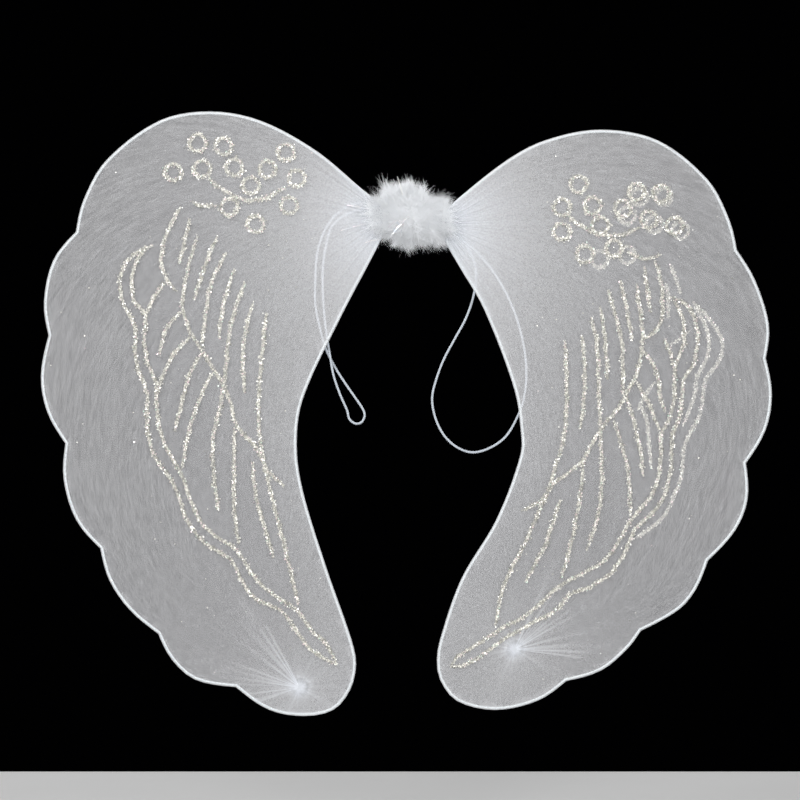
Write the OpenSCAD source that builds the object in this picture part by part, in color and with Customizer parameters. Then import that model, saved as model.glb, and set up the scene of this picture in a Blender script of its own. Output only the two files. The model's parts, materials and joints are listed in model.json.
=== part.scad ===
// Costume fairy wings: two bent wire loops, each drawn into a sheer nylon stocking,
// spliced together at a hub that is wound with marabou down, with two elastic arm loops.
// X runs across the wings, +Z is up as worn, and -Y faces away from the wearer.
// The origin is the middle of the hub.

/* [Wings] */
// Size of both wings, in percent of the size drawn below
wing_size = 100; // [80:5:110]
// Diameter of the coated wire that frames each wing
wire_d = 1.6; // [1.4:0.1:2]
// Thickness of the nylon
nylon_t = 0.25; // [0.2:0.05:0.4]

/* [Glitter] */
// Width of a line of glitter glue
line_w = 2.2; // [1.6:0.1:2.8]
// Height that the glue stands off the nylon
line_t = 0.3; // [0.2:0.1:0.6]
// Mean radius of a glitter ring
berry_r = 5.4; // [4.6:0.1:6.2]

/* [Hub] */
// Radius of the tape sleeve over the wire splice
tape_r = 4.5; // [4.2:0.1:4.5]
// Radius to which the marabou down stands out
down_r = 23; // [16:1:30]
// Half the length of the down's dense core along the hub
down_half = 12.4; // [11:0.1:12.4]

/* [Arm loops] */
// Diameter of the elastic cord
cord_d = 1.5; // [1.3:0.1:2]

/* [Hidden] */

left = -1;
right = 1;
k = wing_size / 100;
wire_r = wire_d / 2;
cord_r = cord_d / 2;

// The wings fold about vertical axes at this distance from the middle.
fold_x = 17;
// The mouth of each stocking ends just outside the fold axis.
mouth_x = 17.5;
// Clearance between the wire and the nylon around it
slack = 0.15;
nylon_in = wire_r + slack;
nylon_out = nylon_in + nylon_t;
wire_inset = nylon_out;

// Longest step along a drawn curve
outline_step = 7;
stroke_step = 9;
ring_step = 13;
wire_sides = 8;
cord_sides = 8;
round_fn = 48;

// Edge of the left wing as [x, z] stretches. Each starts where the one before it ends,
// and the wire has a sharp inward bend between two stretches.
left_edge = [
    [[-17, 5], [-33, 18], [-64, 44], [-101, 64], [-134, 70], [-167, 64], [-202, 38], [-217, 12],
     [-222, -9]],
    [[-237, -28], [-243, -55], [-240, -77]],
    [[-245, -104], [-241, -127], [-229, -148]],
    [[-230, -172], [-222, -198], [-206, -217]],
    [[-200, -238], [-187, -257], [-168, -273]],
    [[-159, -290], [-144, -303], [-117, -308]],
    [[-95, -323], [-72, -327], [-53, -323], [-42, -310], [-38, -293], [-41, -277], [-57, -231],
     [-73, -179], [-77, -149], [-73, -119], [-49, -67], [-25, -21], [-17, -4]]
];

// Edge of the right wing, bent by hand to nearly the same outline and hung a little lower
right_edge = [
    [[17, 1], [28, 12], [61, 38], [86, 51], [122, 58], [160, 51], [193, 25], [207, -1], [212, -21]],
    [[224, -41], [233, -70], [231, -92]],
    [[235, -116], [231, -139], [218, -161]],
    [[219, -185], [211, -205], [193, -225]],
    [[185, -244], [174, -257], [149, -271]],
    [[140, -283], [123, -297], [100, -304]],
    [[81, -317], [53, -323], [28, -317], [17, -303], [15, -290], [17, -277], [31, -237],
     [54, -198], [70, -155], [70, -139], [66, -113], [46, -60], [31, -34], [21, -17], [17, -9]]
];

// Centres of the glitter rings
left_berries = [
    [-142, 49], [-125, 47], [-84, 43], [-158, 30], [-139, 32], [-118, 33],
    [-96, 32], [-107, 21], [-77, 26], [-82, 8], [-121, 7], [-104, -4]
];
right_berries = [
    [108, 22], [97, 7], [117, 8], [137, 6], [146, 17], [162, 16],
    [154, -1], [171, -5], [122, -5], [97, -9], [112, -24], [131, -20]
];

// Stems that run between the rings
left_stems = [
    [[-135, 26], [-123, 17], [-112, 12], [-100, 12], [-84, 20]],
    [[-146, 11], [-141, 8], [-129, 8]]
];
right_stems = [
    [[100, 3], [109, -5], [122, -11], [137, -11], [148, -6]],
    [[140, -22], [151, -27], [162, -24]]
];

// Strokes that draw the feathers, from the shoulder to the lower tip
left_feathers = [
    [[-153, 7], [-159, -3], [-164, -16], [-166, -28], [-163, -39], [-156, -48]],
    [[-147, -1], [-154, -30]],
    [[-171, -18], [-184, -24], [-191, -33], [-193, -45], [-190, -58], [-183, -71], [-183, -88],
     [-181, -99], [-175, -116], [-175, -138], [-170, -157], [-158, -174], [-147, -202],
     [-135, -215], [-120, -224], [-114, -236], [-104, -250], [-88, -257], [-79, -268],
     [-68, -283], [-51, -293]],
    [[-175, -20], [-182, -28], [-185, -40], [-184, -54], [-176, -64], [-177, -77], [-175, -95],
     [-169, -108], [-169, -120], [-167, -137], [-162, -152], [-153, -167], [-142, -196],
     [-130, -209], [-116, -218], [-108, -231], [-97, -244], [-77, -257], [-68, -270],
     [-57, -280], [-51, -293]],
    [[-142, -12], [-147, -28], [-151, -47], [-152, -59], [-146, -76], [-137, -90], [-128, -105],
     [-122, -116], [-116, -137], [-104, -150], [-96, -166], [-85, -176]],
    [[-129, -12], [-137, -31], [-144, -53]],
    [[-123, -23], [-133, -43], [-137, -66], [-139, -85]],
    [[-118, -34], [-125, -57], [-128, -79]],
    [[-111, -42], [-118, -62], [-122, -82], [-124, -105], [-127, -123], [-132, -146],
     [-131, -172], [-128, -192]],
    [[-106, -56], [-112, -85], [-111, -115]],
    [[-97, -62], [-100, -93], [-102, -120], [-101, -146], [-97, -167], [-91, -192], [-85, -215],
     [-80, -236], [-76, -254]],
    [[-163, -42], [-171, -53], [-176, -63]],
    [[-152, -61], [-162, -72], [-167, -90]],
    [[-147, -78], [-158, -90], [-165, -104], [-169, -116]],
    [[-139, -89], [-147, -102], [-152, -120], [-157, -140]],
    [[-133, -102], [-141, -120], [-147, -137], [-152, -164]],
    [[-118, -138], [-118, -166], [-118, -189], [-115, -214]],
    [[-106, -160], [-104, -181], [-98, -203], [-92, -223]]
];
right_feathers = [
    [[157.5, -28], [162, -41], [163, -57], [162, -68], [158, -75], [149, -80]],
    [[151, -32], [155, -62]],
    [[168, -52], [180, -58], [186, -74], [186, -83], [183, -97], [177, -106], [175, -126],
     [169, -146], [169, -160], [167, -172], [163, -185], [155, -195], [145, -204], [139, -218],
     [130, -232], [116, -242], [102, -247], [95, -256], [83, -263], [66, -272], [54, -280],
     [43, -288], [32, -294], [24, -294]],
    [[170, -54], [176, -65], [177, -83], [171, -98], [171, -116], [167, -133], [162, -142],
     [162, -156], [160, -172], [155, -183], [141, -200], [135, -211], [125, -225], [109, -234],
     [93, -243], [83, -253], [70, -263], [60, -268], [50, -274], [38, -282], [28, -288],
     [24, -294]],
    [[146, -43], [148, -60], [150, -77], [149, -90], [146, -103], [140, -114], [134, -125],
     [125, -135], [117, -148], [110, -160], [99, -169], [91, -175], [83, -186], [70, -192]],
    [[135, -41], [139, -57], [143, -80]],
    [[127, -47], [132, -64], [136, -80], [137, -100], [137, -116]],
    [[122, -58], [125, -77], [127, -106]],
    [[116, -65], [120, -83], [121, -106], [122, -133], [123, -156], [123, -172], [122, -188],
     [118, -205], [113, -218]],
    [[110, -77], [112, -100], [111, -123], [109, -138]],
    [[99, -81], [100, -106], [100, -126], [98, -146], [93, -162], [88, -179], [81, -195],
     [72, -215], [65, -228], [58, -244], [55, -257], [54, -267]],
    [[164, -79], [168, -88], [170, -96]],
    [[150, -87], [157, -96], [160, -106], [162, -120], [165, -127]],
    [[146, -108], [152, -118], [156, -127], [161, -139]],
    [[139, -118], [143, -129], [146, -142], [149, -156], [150, -169]],
    [[131, -133], [134, -142], [139, -159], [141, -172], [142, -196]],
    [[111, -160], [110, -175], [108, -188], [105, -205], [101, -221], [97, -236]],
    [[96, -185], [91, -200], [86, -215], [79, -228], [73, -239]]
];

// A second, fainter copy of the shoulder of the pattern on the right wing's back layer
right_back_strokes = [
    [[168, -30], [173, -42], [175, -50]],
    [[183, -55], [193, -65], [200, -75], [203, -84], [200, -95], [192, -105], [190, -116],
     [188, -129], [181, -142], [177, -152], [176, -169], [171, -182], [165, -195], [155, -204],
     [146, -210]],
    [[184, -58], [190, -67], [194, -81], [192, -93], [186, -104], [185, -114], [181, -126],
     [177, -136]],
    [[181, -74], [176, -79], [168, -83]],
    [[158, -108], [152, -116], [147, -126]],
    [[166, -43], [167, -54], [167, -66]],
    [[148, -121], [153, -133], [154, -144], [156, -165]]
];
// Rings of the back copy
right_back_berries = [
    [148, 14], [164, 14], [140, 2], [158, -4], [175, -8], [122, -27], [140, -24]
];

// Where the gathered toe of each stocking is tied, on the back layer
left_toe = [-75, -308];
right_toe = [66, -283];
// Half profile of a tied toe as [radius, height off the nylon]
toe_profile = [
    [0, 0], [6.5, 0], [4, 0.6], [2.4, 1.4], [1.6, 2.1], [1.6, 4.2], [2.8, 5.2], [3.3, 6.4],
    [2.9, 7.4], [1.8, 8.2], [0, 8.4]
];
toe_thread_r = 0.45;
toe_thread_z = [2.65, 3.65];

// Route of each elastic loop behind its wing, from its knot and back again
left_route = [
    [-18, 8, 10], [-25, 8, 11], [-34, 7.5, 11], [-44, 7, 8], [-53, 6.5, 1], [-60, 6.5, -10],
    [-64, 6.5, -24], [-65, 6.5, -40], [-65, 6.5, -57], [-62, 7, -72], [-58, 7.5, -86],
    [-52, 7.5, -98], [-45, 7.5, -109], [-38, 7, -119], [-34, 6.5, -125], [-32.5, 6, -129.5],
    [-34.5, 5.5, -134], [-38.5, 5, -135], [-42.5, 4.5, -132], [-44, 4.5, -126.5],
    [-49, 4, -115], [-53, 4, -103], [-55, 4, -92], [-57, 4, -80], [-59, 4, -64],
    [-60, 4, -48], [-60, 4, -33], [-58, 4.5, -18], [-54, 5, -5], [-46, 5.5, 2],
    [-36, 6, 6], [-26, 7, 7], [-18, 8, 7]
];
right_route = [
    [18, 8.5, -3], [25, 8.5, -7], [33, 8.5, -15], [39, 8, -26], [41, 7, -38], [39, 6.5, -52],
    [34, 6, -66], [27, 6, -79], [20, 6, -92], [15, 6, -105], [12, 6, -118], [14, 6, -131],
    [20, 5.5, -143], [29, 5, -151], [39, 5, -154], [50, 5, -151], [60, 5, -144],
    [67, 5, -133], [72, 5, -120], [74, 5, -105], [73, 5, -88], [69, 5, -70], [63, 5, -54],
    [55, 5, -39], [45, 5, -26], [34, 5.5, -16], [25, 6, -10], [18, 7, -7]
];

// The hub, along X
tape_half = 9;
splice_turn_r = 0.35;
splice_half = 6;
splice_pitch = 0.8;
// The four tails lie side by side in a square, this far from its middle lines.
tail_off = wire_r + 0.1;
splice_r = sqrt(2) * tail_off + wire_r + splice_turn_r + 0.15;
tape_in = splice_r + splice_turn_r + 0.2;
core_r = 0.8;
core_half = 5;
core_pitch = 2;
tail_end_x = 15;
tail_x = 8;
tail_gap = 4;
knot_x = 7.5;
knot_r = cord_r;
ball_r = 2.5;
// Middle of the knot that each elastic loop leaves
left_ball = [-15, 8, 8.5];
right_ball = [15, 8, -5];
// Bore of the down, in the middle and at its flared ends
down_bore = 7.5;
down_flare = 12;

// Turns of thread that bind each neck: their places along X and the heights they span
neck_turns = [18.7, 19.4, 20.1];
left_neck_z = [-11, 7.5];
right_neck_z = [-15.5, 4.5];
thread_t = 0.5;
neck_in = nylon_out + 0.2;

// ---- curves ----

function last(p) = p[len(p) - 1];
function unit(v) = v / norm(v);
function chord(p, i) = unit(p[i + 1] - p[i]);
function inner_slope(p, i) =
    (p[i + 1] - p[i - 1]) / (norm(p[i + 1] - p[i]) + norm(p[i] - p[i - 1]));
function slope(p, i) =
    len(p) == 2 ? chord(p, 0)
    : i == 0 ? 1.5 * chord(p, 0) - 0.5 * inner_slope(p, 1)
    : i == len(p) - 1 ? 1.5 * chord(p, i - 1) - 0.5 * inner_slope(p, i - 1)
    : inner_slope(p, i);

// Point at t, from 0 to 1, along piece i of the smooth curve through the points p
function on_curve(p, i, t) =
    let (step = norm(p[i + 1] - p[i]), t2 = t * t, t3 = t2 * t)
    p[i] * (2 * t3 - 3 * t2 + 1) + slope(p, i) * step * (t3 - 2 * t2 + t)
    + p[i + 1] * (3 * t2 - 2 * t3) + slope(p, i + 1) * step * (t3 - t2);
function curve_open(p, step) = [
    for (i = [0:len(p) - 2])
        let (n = ceil(norm(p[i + 1] - p[i]) / step))
        for (j = [0:n - 1]) on_curve(p, i, j / n)
];
function curve(p, step) = concat(curve_open(p, step), [last(p)]);

// A point of a wing, sized about the wing's own fold axis
function sized(p, side) = [side * fold_x + (p[0] - side * fold_x) * k, p[1] * k];
function sized_all(points, side) = [for (p = points) sized(p, side)];

// The whole edge of a wing, from the top of its neck round to the bottom
function edge_stretch(edge, i) = i == 0 ? edge[0] : concat([last(edge[i - 1])], edge[i]);
function edge_line(edge, side) = concat(
    [for (i = [0:len(edge) - 1])
        each curve_open(sized_all(edge_stretch(edge, i), side), outline_step)],
    [sized(last(last(edge)), side)]
);

// Unit normal of an open [x, z] line at point i, to the left of its direction of travel
function left_of(v) = [-v[1], v[0]];
function line_normal(p, i) =
    i == 0 ? left_of(chord(p, 0))
    : i == len(p) - 1 ? left_of(chord(p, i - 1))
    : unit(left_of(chord(p, i - 1) + chord(p, i)));
// How much further a corner moves than the straights beside it, with a limit
max_mitre = 1.5;
function mitre(p, i) =
    i == 0 || i == len(p) - 1 ? 1
    : min(max_mitre, 1 / (line_normal(p, i) * left_of(chord(p, i))));
function shift_line(p, d) = [for (i = [0:len(p) - 1]) p[i] + line_normal(p, i) * mitre(p, i) * d];
// The same edge, moved into the wing by d
function inset(p, side, d) = shift_line(p, -side * d);

// ---- shapes ----

// A round tube along a route that never runs along Y
module tube(path, r, sides) {
    n = len(path);
    points = [
        for (i = [0:n - 1])
            let (
                t = unit(path[min(i + 1, n - 1)] - path[max(i - 1, 0)]),
                v = unit([0, 1, 0] - t * t[1]),
                w = cross(t, v)
            )
            for (a = [0:sides - 1])
                path[i] + r * (cos(a * 360 / sides) * v + sin(a * 360 / sides) * w)
    ];
    walls = [
        for (i = [0:n - 2], a = [0:sides - 1])
            let (b = (a + 1) % sides)
            [i * sides + a, (i + 1) * sides + a, (i + 1) * sides + b, i * sides + b]
    ];
    near_end = [for (a = [0:sides - 1]) a];
    far_end = [for (a = [0:sides - 1]) n * sides - 1 - a];
    polyhedron(points, concat(walls, [near_end, far_end]), convexity = 10);
}

// A straight round rod between two points
module rod(from, to, r) {
    d = to - from;
    translate(from)
        rotate([0, acos(d[2] / norm(d)), atan2(d[1], d[0])])
            cylinder(h = norm(d), r = r, $fn = round_fn);
}

// A ring round the X axis at x
module hub_ring(x, major, minor) {
    translate([x, 0, 0])
        rotate([0, 90, 0])
            rotate_extrude($fn = round_fn)
                translate([major, 0])
                    circle(r = minor, $fn = round_fn);
}

// A plate of the [x, z] shape given, from y0 to y1
module upright(y0, y1) {
    translate([0, y1, 0])
        rotate([90, 0, 0])
            linear_extrude(y1 - y0)
                children();
}

// A line of even width that narrows at its two ends
end_width = 0.55;
module stroke(points, w) {
    p = curve(points, stroke_step);
    n = len(p);
    function half(i) = w / 2 * (i == 0 || i == n - 1 ? end_width : 1);
    one_side = [for (i = [0:n - 1]) p[i] + line_normal(p, i) * half(i)];
    other_side = [for (i = [n - 1:-1:0]) p[i] - line_normal(p, i) * half(i)];
    polygon(concat(one_side, other_side));
}

module ring_line(centre) {
    translate(centre)
        difference() {
            circle(r = berry_r + line_w / 2, $fn = round_fn);
            circle(r = berry_r - line_w / 2, $fn = round_fn);
        }
}

// ---- wings ----

module wing_wire(edge, side) {
    line = inset(edge_line(edge, side), side, wire_inset);
    color("whitesmoke")
        tube([for (p = line) [p[0], 0, p[1]]], wire_r, wire_sides);
}

module nylon_stocking(edge, side) {
    line = edge_line(edge, side);
    mouth_box = 60;
    color("gainsboro", 0.45)
        difference() {
            upright(-nylon_out, nylon_out) polygon(line);
            upright(-nylon_in, nylon_in) polygon(inset(line, side, nylon_t));
            translate([side * (mouth_x - mouth_box / 2), 0, 0])
                cube(mouth_box, center = true);
        }
}

// Outline of a flattened loop of thread, r from its middle line, spanning the heights z
module loop_outline(z, r) {
    for (end = z)
        translate([0, end])
            circle(r = r, $fn = round_fn);
    translate([-r, z[0]])
        square([2 * r, z[1] - z[0]]);
}

module neck_binding(side, z) {
    color("white")
        for (x = neck_turns)
            translate([side * x - thread_t / 2, 0, 0])
                rotate([90, 0, 90])
                    linear_extrude(thread_t)
                        difference() {
                            loop_outline(z, neck_in + thread_t);
                            loop_outline(z, neck_in);
                        }
}

module on_back_at(place, side) {
    p = sized(place, side);
    translate([p[0], nylon_out, p[1]])
        rotate([-90, 0, 0])
            children();
}

module toe_knot(place, side) {
    color("ghostwhite")
        on_back_at(place, side)
            rotate_extrude($fn = round_fn)
                polygon(toe_profile);
}

module toe_thread(place, side) {
    waist = 1.6;
    color("white")
        on_back_at(place, side)
            for (z = toe_thread_z)
                translate([0, 0, z])
                    rotate_extrude($fn = round_fn)
                        translate([waist + toe_thread_r + 0.05, 0])
                            circle(r = toe_thread_r, $fn = round_fn);
}

module glitter_feathers(strokes, side) {
    color("wheat")
        upright(-nylon_out - line_t, -nylon_out)
            for (s = strokes)
                stroke(sized_all(s, side), line_w);
}

module glitter_berries(centres, stems, side) {
    color("wheat")
        upright(-nylon_out - line_t, -nylon_out) {
            for (c = centres)
                ring_line(sized(c, side));
            for (s = stems)
                stroke(sized_all(s, side), line_w);
        }
}

module right_glitter_back() {
    color("lightgray")
        upright(nylon_out, nylon_out + line_t) {
            for (c = right_back_berries)
                ring_line(sized(c, right));
            for (s = right_back_strokes)
                stroke(sized_all(s, right), line_w);
        }
}

// ---- hub ----

// The two straight ends of a wing's wire, from just inside the fold to across the splice
module wire_tails(edge, side) {
    neck = inset(edge_line(edge, side), side, wire_inset);
    color("whitesmoke")
        for (end = [[neck[0][1], 1], [last(neck)[1], -1]])
            tube(
                curve([
                    [side * tail_end_x, 0, end[0]],
                    [side * (tail_end_x - 2.5), side * 0.3, (end[0] * 2 + end[1] * tail_off) / 3],
                    [side * (tail_x + 1.5), side * tail_off * 0.8, end[1] * (tail_off + 0.3)],
                    [side * tail_x, side * tail_off, end[1] * tail_off],
                    [-side * tail_x, side * tail_off, end[1] * tail_off]
                ], tail_gap),
                wire_r, wire_sides
            );
}

module splice_binding() {
    color("silver")
        for (x = [-splice_half:splice_pitch:splice_half])
            hub_ring(x, splice_r, splice_turn_r);
}

module centre_tape() {
    color("white")
        rotate([0, 90, 0])
            difference() {
                cylinder(h = 2 * tape_half, r = tape_r, center = true, $fn = round_fn);
                cylinder(h = 3 * tape_half, r = tape_in, center = true, $fn = round_fn);
            }
}

module boa_core_cord() {
    color("white")
        for (x = [-core_half:core_pitch:core_half])
            hub_ring(x, tape_r + core_r + 0.1, core_r);
}

module feather_boa() {
    arc_steps = 24;
    rim = [
        for (i = [0:arc_steps])
            let (a = 180 * i / arc_steps)
            [down_flare + (down_r - down_flare) * sin(a), down_half * cos(a)]
    ];
    bore = [[down_bore, -knot_x], [down_bore, knot_x]];
    color("white")
        rotate([0, 90, 0])
            rotate_extrude($fn = round_fn)
                polygon(concat(rim, bore));
}

module elastic_knot(side, ball) {
    ring_major = tape_r + knot_r + 0.2;
    reach = norm([ball[1], ball[2]]);
    color("white") {
        hub_ring(side * knot_x, ring_major, knot_r);
        rod([side * knot_x, ball[1] / reach * ring_major, ball[2] / reach * ring_major], ball, 0.9);
        translate(ball)
            sphere(r = ball_r, $fn = round_fn);
    }
}

// ---- arm loops ----

module arm_loop(route) {
    color("white")
        tube(curve(route, ring_step), cord_r, cord_sides);
}

module left_wing_wire() { wing_wire(left_edge, left); }
module right_wing_wire() { wing_wire(right_edge, right); }
module left_nylon_stocking() { nylon_stocking(left_edge, left); }
module right_nylon_stocking() { nylon_stocking(right_edge, right); }
module left_neck_binding() { neck_binding(left, left_neck_z); }
module right_neck_binding() { neck_binding(right, right_neck_z); }
module left_toe_knot() { toe_knot(left_toe, left); }
module right_toe_knot() { toe_knot(right_toe, right); }
module left_toe_thread() { toe_thread(left_toe, left); }
module right_toe_thread() { toe_thread(right_toe, right); }
module left_glitter_feathers() { glitter_feathers(left_feathers, left); }
module right_glitter_feathers() { glitter_feathers(right_feathers, right); }
module left_glitter_berries() { glitter_berries(left_berries, left_stems, left); }
module right_glitter_berries() { glitter_berries(right_berries, right_stems, right); }
module left_wire_tails() { wire_tails(left_edge, left); }
module right_wire_tails() { wire_tails(right_edge, right); }
module left_elastic_knot() { elastic_knot(left, left_ball); }
module right_elastic_knot() { elastic_knot(right, right_ball); }
module left_arm_loop() { arm_loop(left_route); }
module right_arm_loop() { arm_loop(right_route); }

left_wing_wire();
right_wing_wire();
left_nylon_stocking();
right_nylon_stocking();
left_neck_binding();
right_neck_binding();
left_toe_knot();
right_toe_knot();
left_toe_thread();
right_toe_thread();
left_glitter_feathers();
right_glitter_feathers();
left_glitter_berries();
right_glitter_berries();
right_glitter_back();
left_wire_tails();
right_wire_tails();
splice_binding();
centre_tape();
boa_core_cord();
feather_boa();
left_elastic_knot();
right_elastic_knot();
left_arm_loop();
right_arm_loop();
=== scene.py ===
"""The looks of a pair of costume fairy wings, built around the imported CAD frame."""
import json
import math
from math import pi

import bpy
import numpy as np
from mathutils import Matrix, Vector, geometry


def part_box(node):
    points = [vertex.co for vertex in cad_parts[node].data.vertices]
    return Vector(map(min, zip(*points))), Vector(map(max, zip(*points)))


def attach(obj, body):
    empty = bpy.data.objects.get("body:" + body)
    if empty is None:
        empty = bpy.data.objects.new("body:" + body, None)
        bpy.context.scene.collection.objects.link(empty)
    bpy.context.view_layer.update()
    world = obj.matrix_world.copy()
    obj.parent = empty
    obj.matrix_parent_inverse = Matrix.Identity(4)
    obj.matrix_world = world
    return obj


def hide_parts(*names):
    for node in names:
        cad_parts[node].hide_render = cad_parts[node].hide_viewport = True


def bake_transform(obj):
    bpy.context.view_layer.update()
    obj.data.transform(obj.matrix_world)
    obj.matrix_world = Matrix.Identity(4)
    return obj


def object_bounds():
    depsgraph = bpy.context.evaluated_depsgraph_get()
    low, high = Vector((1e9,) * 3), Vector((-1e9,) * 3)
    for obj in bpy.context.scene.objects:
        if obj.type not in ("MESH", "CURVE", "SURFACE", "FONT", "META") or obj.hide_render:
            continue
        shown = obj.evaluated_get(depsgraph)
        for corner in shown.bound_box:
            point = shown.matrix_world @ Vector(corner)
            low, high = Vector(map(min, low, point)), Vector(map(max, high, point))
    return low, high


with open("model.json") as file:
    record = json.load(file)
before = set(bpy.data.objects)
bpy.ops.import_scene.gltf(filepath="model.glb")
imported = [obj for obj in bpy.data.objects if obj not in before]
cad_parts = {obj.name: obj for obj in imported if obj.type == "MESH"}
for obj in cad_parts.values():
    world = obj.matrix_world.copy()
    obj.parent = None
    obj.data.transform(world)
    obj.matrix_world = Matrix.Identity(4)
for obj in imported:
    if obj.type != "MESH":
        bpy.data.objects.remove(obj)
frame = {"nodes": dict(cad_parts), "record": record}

MM = 0.001
nodes = frame["nodes"]
scene = bpy.context.scene
cad_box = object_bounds()
SIDES = {"left": -1, "right": 1}

# ---- sizes, in metres ----
MOUTH_X = 17.5 * MM         # the mouth of each CAD stocking is this far from the middle
NYLON_HALF = 1.2 * MM
WIRE_R = 0.8 * MM
WIRE_INSET = 1.2 * MM
CORD_R = 0.75 * MM

# Where each stocking is gathered: its neck at the hub and its tied toe
GATHER = {
    "left": {"neck": (-0.017, 0.0005), "toe": (-0.075, -0.308)},
    "right": {"neck": (0.017, -0.004), "toe": (0.066, -0.283)},
}

rng = np.random.default_rng(7)


# ---- camera ----
# The camera looks along +Y
CAMERA_PLACE = (-0.0092, -1.459, -0.1195)
LENS_MM = 100
SENSOR_MM = 36


def make_camera():
    data = bpy.data.cameras.new("camera")
    data.lens = LENS_MM
    data.sensor_width = SENSOR_MM
    camera = bpy.data.objects.new("camera", data)
    scene.collection.objects.link(camera)
    camera.location = CAMERA_PLACE
    camera.rotation_euler = (math.radians(90), 0, 0)
    scene.camera = camera


make_camera()


# ---- small tools ----
def new_mesh(name, points, faces, smooth=True):
    mesh = bpy.data.meshes.new(name)
    mesh.from_pydata([tuple(p) for p in points], [], [tuple(f) for f in faces])
    mesh.validate()
    mesh.update()
    mesh.shade_smooth() if smooth else mesh.shade_flat()
    piece = bpy.data.objects.new(name, mesh)
    scene.collection.objects.link(piece)
    return piece


def set_attribute(piece, name, values, kind="FLOAT", domain="POINT"):
    attribute = piece.data.attributes.new(name, kind, domain)
    field = {"FLOAT": "value", "FLOAT_VECTOR": "vector", "FLOAT_COLOR": "color"}[kind]
    attribute.data.foreach_set(field, np.asarray(values, np.float32).ravel())


def norms(rows):
    return np.linalg.norm(rows, axis=1)


def columns(*parts):
    return np.stack(parts, axis=1)


def smoothstep(low, high, x):
    t = np.clip((x - low) / (high - low), 0, 1)
    return t * t * (3 - 2 * t)


def curve_through(points, step):
    """A smooth line through the points, with a point about every step."""
    p = np.array(points, float)
    gaps = norms(np.diff(p, axis=0))
    chord = np.diff(p, axis=0) / gaps[:, None]
    slope = np.empty_like(p)
    slope[1:-1] = (p[2:] - p[:-2]) / (gaps[1:] + gaps[:-1])[:, None]
    slope[0] = 1.5 * chord[0] - 0.5 * slope[1]
    slope[-1] = 1.5 * chord[-1] - 0.5 * slope[-2]
    line = []
    for i, gap in enumerate(gaps):
        count = max(1, math.ceil(gap / step))
        t = (np.arange(count) / count)[:, None]
        line.append(
            p[i] * (2 * t**3 - 3 * t**2 + 1) + slope[i] * gap * (t**3 - 2 * t**2 + t)
            + p[i + 1] * (3 * t**2 - 2 * t**3) + slope[i + 1] * gap * (t**3 - t**2)
        )
    return np.vstack(line + [p[-1:]])


def ring_quads(rings, sides):
    """Faces that join rings of points, each ring to the next."""
    return [
        (i * sides + j, i * sides + (j + 1) % sides,
         (i + 1) * sides + (j + 1) % sides, (i + 1) * sides + j)
        for i in range(rings - 1) for j in range(sides)
    ]


def tube(name, path, radius, sides):
    """A round tube along a path that never runs along Y."""
    path = np.asarray(path, float)
    ahead = np.vstack([path[1:], path[-1:]]) - np.vstack([path[:1], path[:-1]])
    t = ahead / norms(ahead)[:, None]
    v = np.array([0, 1, 0]) - t * t[:, 1:2]
    v /= norms(v)[:, None]
    w = np.cross(t, v)
    a = np.arange(sides) * 2 * pi / sides
    ring = np.cos(a)[None, :, None] * v[:, None] + np.sin(a)[None, :, None] * w[:, None]
    points = (path[:, None] + radius * ring).reshape(-1, 3)
    faces = ring_quads(len(path), sides)
    last = (len(path) - 1) * sides
    faces.append(tuple(range(sides))[::-1])
    faces.append(tuple(range(last, last + sides)))
    piece = new_mesh(name, points, faces)
    along = np.r_[0, np.cumsum(norms(np.diff(path, axis=0)))]
    wound = np.stack(
        [np.repeat(along, sides), np.tile(a, len(path)), np.zeros(len(points))], axis=1
    )
    set_attribute(piece, "wound", wound, "FLOAT_VECTOR")
    return piece


# ---- materials ----
def add(tree, kind, props=None, **inputs):
    """A shader node. Inputs are values or the sockets that feed them; _ stands for a space."""
    made = tree.nodes.new(kind)
    for key, value in (props or {}).items():
        setattr(made, key, value)
    for key, value in inputs.items():
        key = key.replace("_", " ")
        socket = made.inputs[int(key[1:])] if key[1:].isdigit() else made.inputs[key]
        if isinstance(value, bpy.types.NodeSocket):
            tree.links.new(value, socket)
        else:
            socket.default_value = value
    return made


def maths(tree, operation, a, b=0.0, clamp=False):
    props = {"operation": operation, "use_clamp": clamp}
    return add(tree, "ShaderNodeMath", props, i0=a, i1=b).outputs[0]


def ramp(tree, value, stops):
    """Colours or greys at places from 0 to 1."""
    made = add(tree, "ShaderNodeValToRGB", Fac=value)
    elements = made.color_ramp.elements
    while len(elements) < len(stops):
        elements.new(0.5)
    for element, (place, colour) in zip(elements, stops):
        element.position = place
        element.color = (*colour, 1)
    return made.outputs[0]


def grey(value):
    return (value, value, value)


def noise(tree, vector, scale, detail=2.0, rough=0.5):
    made = add(
        tree, "ShaderNodeTexNoise", Vector=vector, Scale=scale, Detail=detail, Roughness=rough
    )
    return made.outputs[0]


def scaled(tree, vector, factors):
    props = {"operation": "MULTIPLY"}
    return add(tree, "ShaderNodeVectorMath", props, i0=vector, i1=factors).outputs[0]


def from_mesh(tree, name, output):
    return add(tree, "ShaderNodeAttribute", {"attribute_name": name}).outputs[output]


def place(tree):
    return add(tree, "ShaderNodeTexCoord").outputs["Object"]


def bump(tree, height, depth):
    return add(tree, "ShaderNodeBump", Height=height, Distance=depth, Strength=1.0).outputs[0]


def new_material(name, **inputs):
    made = bpy.data.materials.new(name)
    made.use_nodes = True
    shader = made.node_tree.nodes["Principled BSDF"]
    for key, value in inputs.items():
        shader.inputs[key.replace("_", " ")].default_value = value
    return made, made.node_tree


def feed(made, **sockets):
    """Feeds the sockets to the material's shader, and gives the material back."""
    shader = made.node_tree.nodes["Principled BSDF"]
    for key, socket in sockets.items():
        made.node_tree.links.new(socket, shader.inputs[key.replace("_", " ")])
    return made


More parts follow.
